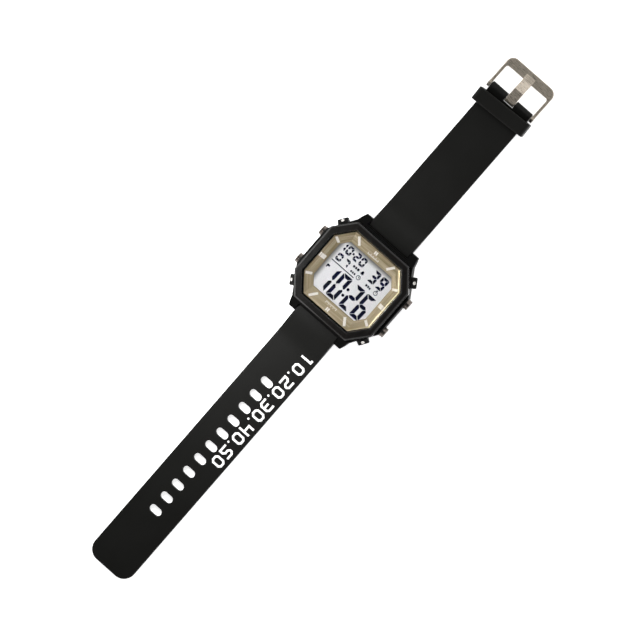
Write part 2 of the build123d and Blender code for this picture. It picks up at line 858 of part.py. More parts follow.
def pusher():
    """Push button at two o'clock: a hollow head on a grooved stem."""
    face = case_half_x + pusher_proud
    back = case_half_x - pusher_head_inside
    head = rod(pusher_head_radius, back, face, pusher_y, pusher_z)
    head = chamfer(head.edges().sort_by(Axis.X)[-1], pusher_head_bevel)
    hollow_end = back + pusher_hollow_depth
    head -= rod(pusher_hollow_radius, back - cut_overrun, hollow_end, pusher_y, pusher_z)
    groove_start = face - pusher_groove_from_tip
    groove_end = groove_start + pusher_groove_width
    groove = rod(pusher_head_radius + cut_overrun, groove_start, groove_end, pusher_y, pusher_z)
    groove -= rod(pusher_head_radius - pusher_groove_depth, groove_start, groove_end, pusher_y, pusher_z)
    stem = rod(pusher_stem_radius, cavity_half_x - pusher_tip_length, hollow_end, pusher_y, pusher_z)
    body = head - groove + stem
    for start, end in seal_spans() + [clip_span()]:
        waist = rod(pusher_stem_radius + cut_overrun, start, end, pusher_y, pusher_z)
        waist -= rod(seal_core_radius, start, end, pusher_y, pusher_z)
        body -= waist
    return body


def seal_spans():
    """Start and end along X of both sealing rings on a stem."""
    starts = [cavity_half_x + seal_first + row * seal_pitch for row in range(2)]
    return [(start, start + seal_width) for start in starts]


def clip_span():
    end = cavity_half_x - running_fit
    return end - clip_thick, end


def pusher_seals():
    rings = []
    for start, end in seal_spans():
        ring = rod(pusher_stem_radius + running_fit - seal_gap, start, end, pusher_y, pusher_z)
        rings.append(ring - rod(seal_core_radius, start, end, pusher_y, pusher_z))
    return rings


def pusher_clip():
    """Open snap ring that keeps the stem from coming out."""
    start, end = clip_span()
    ring = rod(clip_radius, start, end, pusher_y, pusher_z)
    ring -= rod(clip_inner_radius, start, end, pusher_y, pusher_z)
    half_mouth = clip_mouth / 2
    return ring - block(start, end, pusher_y - half_mouth, pusher_y + half_mouth, 0, pusher_z)


def pusher_spring():
    length = pusher_hollow_depth + pusher_travel + pusher_stop_gap
    spring = coil(pusher_spring_coil, pusher_spring_wire, length, pusher_spring_turns)
    return Pos(pusher_counterbore, pusher_y, pusher_z) * Rot(0, 90, 0) * spring


def bar_tube(y, z):
    tube = rod(bar_tube_radius, -bar_tube_half, bar_tube_half, y, z)
    return tube - rod(bar_tube_radius - bar_tube_wall, -bar_tube_half, bar_tube_half, y, z)


def bar_tip(y, z):
    """Right-hand tip of a spring bar: stem, flange and pivot."""
    stem = rod(bar_tip_radius, bar_stem_end, bar_flange_inner, y, z)
    flange = rod(bar_tube_radius, bar_flange_inner, bar_flange_outer, y, z)
    return stem + flange + rod(bar_pivot_radius, bar_flange_outer, bar_tip_end, y, z)


def bar_spring(y, z):
    radius = bar_tip_radius - bar_spring_wire
    spring = coil(radius, bar_spring_wire, 2 * bar_stem_end, bar_spring_turns)
    return Pos(-bar_stem_end, y, z) * Rot(0, 90, 0) * spring


def strap_bar_bore(y, z):
    half = strap_width / 2 + cut_overrun
    return rod(bar_tube_radius + running_fit, -half, half, y, z)


def strap_edges_softened(strap):
    """Rounds the long edges of a strap half."""
    sides = strap.faces().filter_by(Axis.X)
    edges = sides.sort_by(Axis.X)[0].edges() + sides.sort_by(Axis.X)[-1].edges()
    return fillet(edges, strap_edge_radius)


def swell(direction, low_end):
    """Side lines of a strap half's thick end: from its thin top, round the bar, to its underside."""
    thin_y = bar_y + strap_swell_length
    thin_z = low_end + strap_thick
    top_z = bar_height + strap_barrel_radius
    middle = (direction * (bar_y + thin_y) / 2, (top_z + thin_z) / 2)
    top = (direction * bar_y, top_z)
    thin = (direction * thin_y, thin_z)
    base = (direction * bar_y, bar_height - strap_barrel_radius)
    inner = (direction * (bar_y - strap_barrel_radius), bar_height)
    under = (direction * (bar_y + strap_under_length), low_end)
    lines = Curve() + TangentArc(thin, middle, tangent=(-direction, 0))
    lines += TangentArc(top, middle, tangent=(direction, 0))
    lines += ThreePointArc(top, inner, base)
    lines += Line(base, under)
    return lines, thin, under


def strap_upper():
    """Strap half at twelve o'clock, from its spring bar to the buckle's pin."""
    lines, thin, under = swell(1, upper_strap_rise)
    swell_start = (pin_y - buckle_swell_length, upper_strap_rise + strap_thick)
    crown = (pin_y, pin_z + buckle_barrel_radius)
    tip = (pin_y + buckle_barrel_radius, pin_z)
    heel = (pin_y, upper_strap_rise)
    lines += Line(thin, swell_start)
    lines += Line(swell_start, crown)
    lines += ThreePointArc(crown, tip, heel)
    lines += Line(heel, under)
    strap = extrude(Plane.YZ * make_face(lines), amount=strap_width / 2, both=True)
    strap = strap_edges_softened(strap)
    strap -= strap_bar_bore(bar_y, bar_height)
    strap -= strap_bar_bore(pin_y, pin_z)
    half_notch = notch_width / 2
    far = pin_y + buckle_barrel_radius + cut_overrun
    high = pin_z + buckle_barrel_radius + cut_overrun
    return strap - block(-half_notch, half_notch, pin_y - notch_behind_pin, far, 0, high)


def strap_lower():
    """Strap half at six o'clock, with its row of slots and rounded tail."""
    lines, thin, under = swell(-1, 0)
    tail_y = -bar_y - tail_from_bar
    lines += Polyline(thin, (tail_y, strap_thick), (tail_y, 0), under)
    strap = extrude(Plane.YZ * make_face(lines), amount=strap_width / 2, both=True)
    corners = strap.edges().filter_by(Axis.Z).group_by(Axis.Y)[0]
    strap = fillet(corners, tail_corner_radius)
    rim = [edge for edge in strap.edges() if edge_on_rim(edge, tail_y)]
    strap = fillet(rim, strap_edge_radius)
    strap -= strap_bar_bore(-bar_y, bar_height)
    hole = extrude(SlotOverall(slot_length, slot_width), amount=strap_thick + cut_overrun, both=True)
    for row in range(slot_count):
        strap -= Pos(0, -bar_y - first_slot_from_bar - row * slot_pitch, 0) * hole
    return strap


def edge_on_rim(edge, tail_y):
    """True for the long edges of the lower strap half and those round its tail."""
    middle = edge.center()
    level = Vector(edge.tangent_at(0).X, edge.tangent_at(0).Y).length
    upright = edge.length < strap_thick + running_fit and level < running_fit / strap_thick
    on_side = abs(abs(middle.X) - strap_width / 2) < running_fit
    at_tail = middle.Y < tail_y + tail_corner_radius
    return (on_side or at_tail) and not upright


def strap_keeper():
    """Loose loop round the upper strap half, for the tail."""
    inner_high = keeper_base_wall + loose_fit + 2 * strap_thick + keeper_spare_height
    outer_high = inner_high + keeper_top_wall
    inner_half = keeper_half_width - keeper_side_wall
    outer = RectangleRounded(2 * keeper_half_width, outer_high, keeper_corner_radius)
    inner = RectangleRounded(2 * inner_half, inner_high - keeper_base_wall, keeper_inner_radius)
    section = Pos(0, outer_high / 2) * outer - Pos(0, (inner_high + keeper_base_wall) / 2) * inner
    loop = extrude(Plane.XZ * section, amount=keeper_length / 2, both=True)
    ends = loop.faces().sort_by(Axis.Y)
    loop = fillet(ends[0].outer_wire().edges() + ends[-1].outer_wire().edges(), keeper_rim_radius)
    return Pos(0, pin_y - keeper_behind_pin, 0) * Rot(0, 0, keeper_skew) * loop


def pin_frame():
    """Place of the buckle's pin, tipped so that the buckle's front bar rests on the table."""
    return Pos(0, pin_y, pin_z) * Rot(-frame_tilt, 0, 0)


def buckle_frame():
    """Three-sided buckle frame with an eye in each arm for the pin."""
    inner_half = strap_width / 2 + frame_arm_gap
    outer_half = inner_half + frame_arm_thick
    half_thick = frame_thick / 2
    bar_start = frame_reach - frame_bar_depth
    outer = block(-outer_half, outer_half, 0, frame_reach, -half_thick, half_thick)
    outer = fillet(outer.edges().filter_by(Axis.Z).group_by(Axis.Y)[-1], frame_corner_radius)
    outer += rod(frame_eye_radius, -outer_half, outer_half, 0, 0)
    window = block(-inner_half, inner_half, -frame_reach, bar_start, -frame_reach, frame_reach)
    window = fillet(window.edges().filter_by(Axis.Z).group_by(Axis.Y)[-1], frame_inner_radius)
    body = outer - window
    front = body.edges().filter_by(lambda edge: edge.center().Y > frame_reach - frame_corner_radius)
    front = front.filter_by(lambda edge: abs(abs(edge.center().Z) - half_thick) < running_fit)
    body = fillet(front, frame_edge_radius)
    arms = body.edges().filter_by(Axis.Y).filter_by(lambda edge: edge.length > frame_bar_depth)
    body = fillet(arms, frame_arm_radius)
    body -= rod(bar_pivot_radius + running_fit, -outer_half, outer_half, 0, 0)
    return pin_frame() * body


def buckle_tongue():
    """Flat tongue that curls round the pin and rests on the buckle's front bar."""
    bar_start = frame_reach - frame_bar_depth
    tip_y = bar_start + tongue_over_bar
    rest_z = frame_thick / 2 + tongue_rest_gap
    top_z = tongue_eye_radius
    side = Polygon(
        (0, top_z - tongue_thick),
        (tongue_bend_reach, top_z + tongue_bend_rise - tongue_thick),
        (bar_start - tongue_flat_before_bar, rest_z),
        (tip_y, rest_z),
        (tip_y, rest_z + tongue_thick),
        (bar_start - tongue_flat_before_bar, rest_z + tongue_thick),
        (tongue_bend_reach, top_z + tongue_bend_rise),
        (0, top_z),
        align=None,
    )
    half_width = tongue_width / 2
    strip = extrude(Plane.YZ * side, amount=half_width, both=True)
    sides = strip.faces().filter_by(Axis.X)
    strip = fillet(sides.sort_by(Axis.X)[0].edges() + sides.sort_by(Axis.X)[-1].edges(), tongue_edge_radius)
    body = strip + rod(tongue_eye_radius, -half_width, half_width, 0, 0)
    body -= rod(bar_tube_radius + running_fit, -half_width, half_width, 0, 0)
    return pin_frame() * body


def save(name, shape):
    """Writes one piece, or a group of separate pieces, as parts/name.step."""
    pieces = shape if isinstance(shape, list) else [shape]
    solids = [solid for piece in pieces for solid in piece.solids()]
    whole = solids[0] if len(solids) == 1 else Compound(children=solids)
    export_step(whole, os.path.join("parts", name + ".step"))


def all_pieces():
    """Every piece by the name of its file."""
    pieces = {
        "mid_case": mid_case(),
        "bezel": bezel(),
        "crystal": crystal(),
        "crystal_gasket": crystal_gasket(),
        "dial_ring": dial_ring(),
        "hour_markers": hour_markers(),
        "corner_screws": at_four_corners(corner_screw()),
        "case_back": case_back(),
        "back_gasket": back_gasket(),
        "case_back_screws": case_back_screws(),
        "module_frame": module_frame(),
        "lcd_cell": lcd_cell(),
        "front_polariser": front_polariser(),
        "rear_reflector": rear_reflector(),
        "light_guide": light_guide(),
        "connector_strips": connector_strips(),
        "circuit_board": circuit_board(),
        "driver_chip": driver_chip(),
        "quartz_crystal": quartz_crystal(),
        "backlight_led": backlight_led(),
        "battery_cell": battery_cell(),
        "battery_contact": battery_contact(),
        "battery_clamp": battery_clamp(),
        "button_contacts": button_contacts(),
        "buzzer_disc": buzzer_disc(),
        "buzzer_spring": buzzer_spring(),
        "strap_upper": strap_upper(),
        "strap_lower": strap_lower(),
        "strap_keeper": strap_keeper(),
        "buckle_frame": buckle_frame(),
        "buckle_tongue": buckle_tongue(),
    }
    pusher_set = {
        "pusher": [pusher()],
        "clip": [pusher_clip()],
        "seals": pusher_seals(),
        "spring": [pusher_spring()],
    }
    for kind, shapes in pusher_set.items():
        quarters = zip(*[at_four_corners(shape) for shape in shapes])
        for name, placed in zip(["start", "light", "reset", "mode"], quarters):
            pieces[name + "_" + kind] = list(placed)
    for name, y, z in [("upper", bar_y, bar_height), ("lower", -bar_y, bar_height), ("buckle", pin_y, pin_z)]:
        right_tip, left_tip = on_both_sides(bar_tip(y, z))
        pieces[name + "_bar_tube"] = bar_tube(y, z)
        pieces[name + "_bar_spring"] = bar_spring(y, z)
        pieces[name + "_bar_right_tip"] = right_tip
        pieces[name + "_bar_left_tip"] = left_tip
    return pieces


os.makedirs("parts", exist_ok=True)
for piece_name, piece in all_pieces().items():
    save(piece_name, piece)
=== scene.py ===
import json
import math

import bmesh
import bpy
from mathutils import Matrix, Vector
from mathutils.bvhtree import BVHTree

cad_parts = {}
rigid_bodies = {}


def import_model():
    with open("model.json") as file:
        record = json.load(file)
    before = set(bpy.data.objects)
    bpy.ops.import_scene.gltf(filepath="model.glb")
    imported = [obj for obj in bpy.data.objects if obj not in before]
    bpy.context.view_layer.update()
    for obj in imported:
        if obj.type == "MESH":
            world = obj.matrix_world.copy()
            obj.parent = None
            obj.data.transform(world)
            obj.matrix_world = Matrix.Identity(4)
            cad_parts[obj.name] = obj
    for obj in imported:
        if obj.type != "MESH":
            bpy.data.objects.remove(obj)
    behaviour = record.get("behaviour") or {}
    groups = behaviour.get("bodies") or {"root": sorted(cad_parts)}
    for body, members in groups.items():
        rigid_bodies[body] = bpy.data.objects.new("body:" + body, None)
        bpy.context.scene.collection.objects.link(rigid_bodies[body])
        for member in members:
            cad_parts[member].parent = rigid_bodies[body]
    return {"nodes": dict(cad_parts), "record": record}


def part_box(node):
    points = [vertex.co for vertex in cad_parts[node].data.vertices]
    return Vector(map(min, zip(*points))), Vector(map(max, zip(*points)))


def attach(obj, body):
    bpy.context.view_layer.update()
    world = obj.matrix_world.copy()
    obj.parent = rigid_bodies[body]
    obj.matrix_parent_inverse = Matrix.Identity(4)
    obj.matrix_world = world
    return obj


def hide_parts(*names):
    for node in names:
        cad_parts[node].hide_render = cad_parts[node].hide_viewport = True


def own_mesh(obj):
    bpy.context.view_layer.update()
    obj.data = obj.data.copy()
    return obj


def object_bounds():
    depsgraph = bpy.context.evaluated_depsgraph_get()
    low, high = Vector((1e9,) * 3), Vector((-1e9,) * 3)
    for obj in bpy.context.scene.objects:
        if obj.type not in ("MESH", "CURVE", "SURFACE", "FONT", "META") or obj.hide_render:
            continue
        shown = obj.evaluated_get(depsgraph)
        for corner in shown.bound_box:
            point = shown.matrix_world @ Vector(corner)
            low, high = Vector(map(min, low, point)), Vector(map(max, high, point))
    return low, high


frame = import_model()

# Digital wristwatch with an eight-sided case, lying open on a white table with its face up.
# Blender works in metres. A size written in millimetres has a name that ends in _mm, or is times mm.
mm = 0.001
cad_low, cad_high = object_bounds()

# Display, measured from the middle of its window: x to three o'clock, y to twelve o'clock
digit_rise_mm = 0.02
# Painted shadow of the digits: the signs again in pale grey, shifted aside and lifted less than the digits
shade_rise_mm = 0.006
shade_shift_mm = (0.12, -0.14)
# where the painted shade of the ring on the display is full, and where it ends
shade_left_mm = (-13.2, -10.8)
shade_upper_mm = (11.2, 8.6)
display_slant_degrees = 2.5
segment_gap_share = 0.1
segment_tip_share = 0.35
digit_corner_cut_mm = 0.45
# text, right edge, foot, height, digit width, gap between digits, stroke, width of a dash or colon
display_rows_mm = [
    ("10-20", -0.55, 6.3, 3.67, 2.4, 0.5, 0.78, 0.42),
    ("07", -5.2, 2.13, 3.17, 2.5, 0.95, 0.84, 0.42),
    ("39", 10.9, 4.05, 5.33, 3.15, 0.85, 1.0, 0.42),
    ("10:26", 11.7, -10.37, 10.85, 4.45, 1.05, 1.42, 0.0),
]
colon_height_shares = (0.36, 0.63)
colon_radius_share = 0.42
dash_length_mm = 0.75
# left, right, foot, top of plain bars
display_bars_mm = [
    (-11.8, -0.63, 1.1, 1.44),
    (-3.75, -2.95, 4.35, 5.2),
    (-2.7, -1.95, 4.35, 5.2),
    (-1.7, -0.8, 4.3, 5.25),
    (-3.35, -2.7, 2.25, 3.0),
    (-2.45, -1.85, 2.25, 3.0),
    (-1.6, -1.0, 2.25, 3.0),
    (4.6, 5.35, 1.95, 2.8),
    (5.6, 6.25, 1.95, 2.8),
    (6.5, 7.1, 1.85, 2.6),
]
clock_icon_mm = (0.7, 2.55, 0.92)
timer_icon_mm = (9.62, 2.35, 0.88)
bell_icon_mm = (0.8, 4.15, 1.65)
flag_icon_mm = (-11.75, -2.35, 1.4)
icon_stroke_mm = 0.22
round_steps = 32
# parts of the icons, as shares of the icon's radius or size
long_hand_share = 0.65
short_hand_share = 0.55
knob_foot_share = 1.3
knob_top_share = 1.5
bell_shares = [
    (-0.5, 0.12), (0.5, 0.12), (0.36, 0.34), (0.3, 0.72), (0.12, 0.92), (-0.12, 0.92),
    (-0.3, 0.72), (-0.36, 0.34),
]
clapper_shares = [(-0.12, -0.02), (0.12, -0.02), (0.12, 0.08), (-0.12, 0.08)]
flag_shares = [(0, 0), (0.3, 0), (0.3, 0.3), (1, 0.62), (0.8, 1), (0, 1)]

# Printed rows on the ring's slopes and on the lower strap half
tick_count = 13
tick_pitch_mm = 0.42
tick_width_mm = 0.22
tick_length_mm = 0.55
long_tick_length_mm = 0.95
long_tick_every = 3
tick_middle_y_mm = 12.35
print_thick_mm = 0.015

strap_row = "10.20.30.40.50"
strap_row_start_mm = -33.0
strap_row_foot_mm = 3.5
strap_digit_height_mm = 4.95
strap_digit_width_mm = 3.75
strap_digit_gap_mm = 1.15
strap_stroke_mm = 0.84
strap_corner_cut_mm = 0.75
# how far a stroke's corner may run out, as a share of the stroke
least_mitre_share = 0.3

# A coil spring that reaches this far past its fixed end has a second half with a tip of its own
spring_past_end_mm = 0.1

# Vertices nearer to each other than this are one point
same_point_mm = 0.0001

# Camera and light, set up as in the photograph
pixels_per_mm = 2.6
photo_pixels = 640
watch_turn_degrees = 41.2
camera_tilt_degrees = 5.0
camera_side_degrees = 5.2
lens_mm = 400.0
sensor_mm = 36.0
nearest_seen_mm = 50.0
farthest_seen_mm = 20000.0
aim_mm = (-0.4, -20.1, 0.0)
floor_half_mm = 3000.0
floor_drop_mm = 0.05
floor_glow = 0.75
# share of the way up from the horizon, brightness of the surround there
sky_stops = [(0.0, 0.6), (0.3, 1.5), (0.55, 1.2), (0.8, 0.4), (0.92, 0.2), (1.0, 0.04)]
# name, place, point that it faces and side length in millimetres, power in watts
softboxes = [
    ("near_softbox", (-75, -40, 115), (0, -30, 0), 64, 0.21),
    ("key_softbox", (-200, 213, 350), (0, 0, 0), 160, 0.3),
    ("buckle_softbox", (40, 300, 420), (0, 98, 0), 140, 0.21),
]

# Noise seldom leaves the part between these two values, so patterns are spread over it
noise_low = 0.3
noise_high = 0.7
bevel_samples = 4


def colour(hex_value):
    """Linear colour of an sRGB hex value such as #1a1440."""
    channels = [int(hex_value[start:start + 2], 16) / 255 for start in (1, 3, 5)]
    linear = [c / 12.92 if c <= 0.04045 else ((c + 0.055) / 1.055) ** 2.4 for c in channels]
    return (*linear, 1.0)


def per_metre(size_mm):
    """Texture scale at which one repeat is size_mm long."""
    return 1 / (size_mm * mm)


def add(tree, kind, settings=None, inputs=None):
    """Adds a shader node. Settings are its own choices, inputs are values or the sockets to link."""
    made = tree.nodes.new("ShaderNode" + kind)
    for name, value in (settings or {}).items():
        setattr(made, name, value)
    join(tree, made, inputs or {})
    return made


def join(tree, node, inputs):
    """Gives a node's inputs their values or links."""
    for name, value in inputs.items():
        if isinstance(value, bpy.types.NodeSocket):
            tree.links.new(value, node.inputs[name])
        else:
            node.inputs[name].default_value = value


def new_material(name):
    made = bpy.data.materials.new(name)
    made.use_nodes = True
    return made, made.node_tree, made.node_tree.nodes["Principled BSDF"]


def grain(tree, size_mm, stretch=(1.0, 1.0, 1.0), detail=2.0, seed=0.0):
    """Even noise over the object, one grain about size_mm across, drawn out where stretch is small."""
    place = add(tree, "TexCoord").outputs["Object"]
    drawn = add(tree, "Mapping", inputs={"Vector": place, "Scale": stretch, "Location": (seed, seed, seed)})
    settings = {"Vector": drawn.outputs["Vector"], "Scale": per_metre(size_mm), "Detail": detail}
    return add(tree, "TexNoise", inputs=settings).outputs["Fac"]


def between(tree, share, low, high):
    """A number that follows a pattern from low to high."""
    given = {"Value": share, "From Min": noise_low, "From Max": noise_high, "To Min": low, "To Max": high}
    return add(tree, "MapRange", inputs=given).outputs["Result"]


def soft_step(tree, length, span_mm):
    """Falls smoothly from one to nothing between two places, given in millimetres along an axis."""
    full, none = span_mm
    given = {"Value": length, "From Min": full * mm, "From Max": none * mm, "To Min": 1.0, "To Max": 0.0}
    return add(tree, "MapRange", {"interpolation_type": "SMOOTHSTEP"}, given).outputs["Result"]


def shades(tree, share, dark, light):
    """A colour that follows a pattern from dark to light."""
    ramp = add(tree, "ValToRGB", inputs={"Fac": share})
    for stop, place, value in zip(ramp.color_ramp.elements, (noise_low, noise_high), (dark, light)):
        stop.position = place
        stop.color = colour(value)
    return ramp.outputs["Color"]


def relief(tree, height, depth_mm, edge_mm=0.0):
    """Surface normal with a pattern's relief, and with edges softened to a small radius."""
    given = {"Height": height, "Distance": depth_mm * mm, "Strength": 1.0}
    if edge_mm:
        soft = add(tree, "Bevel", {"samples": bevel_samples}, {"Radius": edge_mm * mm})
        given["Normal"] = soft.outputs["Normal"]
    return add(tree, "Bump", inputs=given).outputs["Normal"]


def satin_resin():
    """Moulded polyurethane of the case middle: near black, with a fine spark-eroded grain."""
    made, tree, shader = new_material("satin_moulded_resin")
    fine = grain(tree, 0.16)
    join(tree, shader, {
        "Base Color": shades(tree, grain(tree, 2.5, seed=1.0), "#020202", "#040403"),
        "Roughness": between(tree, fine, 0.42, 0.5),
        "IOR": 1.5,
        "Specular IOR Level": 0.05,
        "Normal": relief(tree, fine, 0.006, 0.12),
    })
    return made


def gloss_resin():
    """Polished acrylonitrile bezel: black with a warm sheen and faint swirls from buffing."""
    made, tree, shader = new_material("polished_black_resin")
    swirl = grain(tree, 0.9, (1.0, 0.25, 1.0))
    join(tree, shader, {
        "Base Color": shades(tree, grain(tree, 6.0, seed=2.0), "#080706", "#0e0c0a"),
        "Roughness": between(tree, swirl, 0.2, 0.27),
        "IOR": 1.52,
        "Specular IOR Level": 0.3,
        "Coat Weight": 0.15,
        "Coat Roughness": 0.08,
        "Normal": relief(tree, swirl, 0.0015, 0.2),
    })
    return made


def mineral_glass():
    """Flat polished float glass over the display, clear with a faint green edge."""
    made, tree, shader = new_material("mineral_glass")
    join(tree, shader, {
        "Base Color": shades(tree, grain(tree, 9.0), "#fcfefd", "#feffff"),
        "Roughness": 0.0,
        "IOR": 1.52,
        "Transmission Weight": 1.0,
    })
    return made


def nitrile_rubber():
    """Moulded nitrile of the gaskets and stem seals: dull black."""
    made, tree, shader = new_material("nitrile_rubber")
    dust = grain(tree, 0.12)
    join(tree, shader, {
        "Base Color": shades(tree, dust, "#131312", "#1c1c1b"),
        "Roughness": between(tree, dust, 0.6, 0.75),
        "IOR": 1.52,
        "Normal": relief(tree, dust, 0.004),
    })
    return made


def champagne_plating():
    """Satin champagne plating of the dial ring, turned round and round: its fine lines follow each slope."""
    made, tree, shader = new_material("champagne_plating")
    turned = grain(tree, 0.4, (0.02, 0.02, 1.0), 2.0)
    join(tree, shader, {
        "Base Color": shades(tree, turned, "#8f8062", "#cdbca0"),
        "Metallic": 1.0,
        "Roughness": between(tree, turned, 0.38, 0.48),
        "Normal": relief(tree, turned, 0.014, 0.12),
    })
    return made


def diamond_cut_metal():
    """Diamond cut rose-silver hour markers: bright flats that flash."""
    made, tree, shader = new_material("diamond_cut_metal")
    line = grain(tree, 0.05, (0.1, 1.0, 1.0))
    join(tree, shader, {
        "Base Color": shades(tree, line, "#f3ebe2", "#fdf8f1"),
        "Metallic": 1.0,
        "Roughness": between(tree, line, 0.34, 0.42),
        "Normal": relief(tree, line, 0.0008, 0.04),
    })
    return made


def polished_screw_steel():
    """Polished stainless screws: bright, lightly turned heads."""
    made, tree, shader = new_material("polished_screw_steel")
    turned = grain(tree, 0.07)
    join(tree, shader, {
        "Base Color": shades(tree, turned, "#b9b6b2", "#cbc9c5"),
        "Metallic": 1.0,
        "Roughness": between(tree, turned, 0.16, 0.26),
        "Normal": relief(tree, turned, 0.001, 0.05),
    })
    return made


def brushed_back_steel():
    """Case back of stainless plate, brushed straight from six to twelve o'clock."""
    made, tree, shader = new_material("brushed_back_steel")
    line = grain(tree, 0.08, (1.0, 0.03, 1.0), 3.0)
    join(tree, shader, {
        "Base Color": shades(tree, line, "#aaa8a4", "#c2c0bc"),
        "Metallic": 1.0,
        "Roughness": between(tree, line, 0.28, 0.4),
        "Normal": relief(tree, line, 0.002, 0.06),
    })
    return made


def acetal():
    """Module frame moulded from white acetal: milky and waxy."""
    made, tree, shader = new_material("white_acetal")
    wax = grain(tree, 0.6)
    join(tree, shader, {
        "Base Color": shades(tree, wax, "#dddcd6", "#e6e5e0"),
        "Roughness": between(tree, wax, 0.38, 0.48),
        "IOR": 1.48,
        "Normal": relief(tree, wax, 0.002, 0.06),
    })
    return made


def cell_glass():
    """Thin glass of the display cell, its cut edges a watery green."""
    made, tree, shader = new_material("display_cell_glass")
    join(tree, shader, {
        "Base Color": shades(tree, grain(tree, 4.0), "#c3cbc4", "#ccd3cc"),
        "Roughness": 0.06,
        "IOR": 1.52,
        "Coat Weight": 0.5,
    })
    return made


def polariser_film_with_painted_shade():
    """Polariser on the display: cool pale grey with a very fine sparkle from its backing. Its colour is
    painted darker in a soft band along the window's left and upper edges: a painted shade for the shade the
    ring throws on the reflector behind the cell."""
    made, tree, shader = new_material("polariser_film_with_painted_shade")
    sparkle = grain(tree, 0.07, detail=3.0)
    place = add(tree, "SeparateXYZ", inputs={"Vector": add(tree, "TexCoord").outputs["Object"]})
    left = soft_step(tree, place.outputs["X"], shade_left_mm)
    upper = soft_step(tree, place.outputs["Y"], shade_upper_mm)
    painted_shade_weight = add(tree, "Math", {"operation": "MAXIMUM"}, {0: left, 1: upper}).outputs["Value"]
    mixed = add(tree, "MixRGB", inputs={
        "Fac": painted_shade_weight,
        "Color1": shades(tree, sparkle, "#f9f6fa", "#fefcfe"),
        # painted shade colour, mixed into the film along the window's left and upper edges
        "Color2": colour("#76716f"),
    })
    join(tree, shader, {
        "Base Color": mixed.outputs["Color"],
        "Roughness": between(tree, sparkle, 0.34, 0.42),
        "IOR": 1.49,
        "Normal": relief(tree, sparkle, 0.0006),
    })
    return made


def silvered_film():
    """Reflector behind the display: silvered polyester with a pearl finish."""
    made, tree, shader = new_material("silvered_film")
    pearl = grain(tree, 0.1)
    join(tree, shader, {
        "Base Color": shades(tree, pearl, "#cfd1d2", "#dfe1e2"),
        "Metallic": 1.0,
        "Roughness": between(tree, pearl, 0.3, 0.4),
    })
    return made


def clear_acrylic():
    """Light guide cut from acrylic sheet, with a grid of printed dots on its underside."""
    made, tree, shader = new_material("clear_acrylic")
    place = add(tree, "TexCoord").outputs["Object"]
    dots = add(tree, "TexVoronoi", inputs={"Vector": place, "Scale": per_metre(0.8), "Randomness": 0.0})
    join(tree, shader, {
        "Base Color": shades(tree, dots.outputs["Distance"], "#ffffff", "#d6e0e0"),
        "Roughness": 0.12,
        "IOR": 1.49,
        "Transmission Weight": 0.6,
    })
    return made


def zebra_rubber():
    """Connector strips of layered silicone: dark conducting lines between grey ones."""
    made, tree, shader = new_material("zebra_rubber")
    place = add(tree, "TexCoord").outputs["Object"]
    bands = add(tree, "TexWave", {"bands_direction": "X"}, {
        "Vector": place,
        "Scale": per_metre(0.4) / math.tau,
        "Distortion": 0.0,
    })
    join(tree, shader, {
        "Base Color": shades(tree, bands.outputs["Fac"], "#2b2c2f", "#8f8f95"),
        "Roughness": 0.6,
        "IOR": 1.41,
    })
    return made


def solder_mask():
    """Circuit board: green solder mask over glass cloth, with its weave just showing."""
    made, tree, shader = new_material("green_solder_mask")
    weave = grain(tree, 0.45, (1.0, 1.0, 0.1))
    join(tree, shader, {
        "Base Color": shades(tree, weave, "#0c3d22", "#14512f"),
        "Roughness": between(tree, weave, 0.22, 0.3),
        "IOR": 1.55,
        "Normal": relief(tree, weave, 0.003),
    })
    return made


def black_epoxy():
    """Driver chip cast in filled epoxy: matt black with fine speckle."""
    made, tree, shader = new_material("black_epoxy")
    speck = grain(tree, 0.06, detail=4.0)
    join(tree, shader, {
        "Base Color": shades(tree, speck, "#111111", "#1d1d1d"),
        "Roughness": between(tree, speck, 0.5, 0.65),
        "IOR": 1.55,
        "Normal": relief(tree, speck, 0.003, 0.08),
    })
    return made


def tinned_can():
    """Tin plated can of the quartz crystal: soft grey shine."""
    made, tree, shader = new_material("tinned_can")
    bloom = grain(tree, 0.5)
    join(tree, shader, {
        "Base Color": shades(tree, bloom, "#b4b4b0", "#c7c7c3"),
        "Metallic": 1.0,
        "Roughness": between(tree, bloom, 0.25, 0.38),
    })
    return made


def lamp_resin():
    """Backlight lamp: white body with a yellowish phosphor."""
    made, tree, shader = new_material("lamp_resin")
    cloud = grain(tree, 0.4)
    join(tree, shader, {
        "Base Color": shades(tree, cloud, "#e6dea0", "#f1ecc8"),
        "Roughness": between(tree, cloud, 0.3, 0.4),
        "IOR": 1.5,
    })
    return made


def nickelled_steel():
    """Coin cell of deep drawn, nickel plated steel, rubbed round and round."""
    made, tree, shader = new_material("nickelled_steel")
    rub = grain(tree, 0.2)
    join(tree, shader, {
        "Base Color": shades(tree, rub, "#bfbdb8", "#d2d0cb"),
        "Metallic": 1.0,
        "Roughness": between(tree, rub, 0.22, 0.32),
        "Normal": relief(tree, rub, 0.0015, 0.1),
    })
    return made


def gilt_bronze():
    """Contact springs stamped from phosphor bronze, gold plated."""
    made, tree, shader = new_material("gilt_bronze")
    roll = grain(tree, 0.1, (0.1, 1.0, 1.0))
    join(tree, shader, {
        "Base Color": shades(tree, roll, "#d0a65a", "#e0ba70"),
        "Metallic": 1.0,
        "Roughness": between(tree, roll, 0.22, 0.32),
    })
    return made


def buzzer_brass():
    """Buzzer disc of rolled brass with faint rolling lines."""
    made, tree, shader = new_material("rolled_brass")
    roll = grain(tree, 0.12, (1.0, 0.1, 1.0))
    join(tree, shader, {
        "Base Color": shades(tree, roll, "#c79f55", "#d6b169"),
        "Metallic": 1.0,
        "Roughness": between(tree, roll, 0.28, 0.38),
    })
    return made


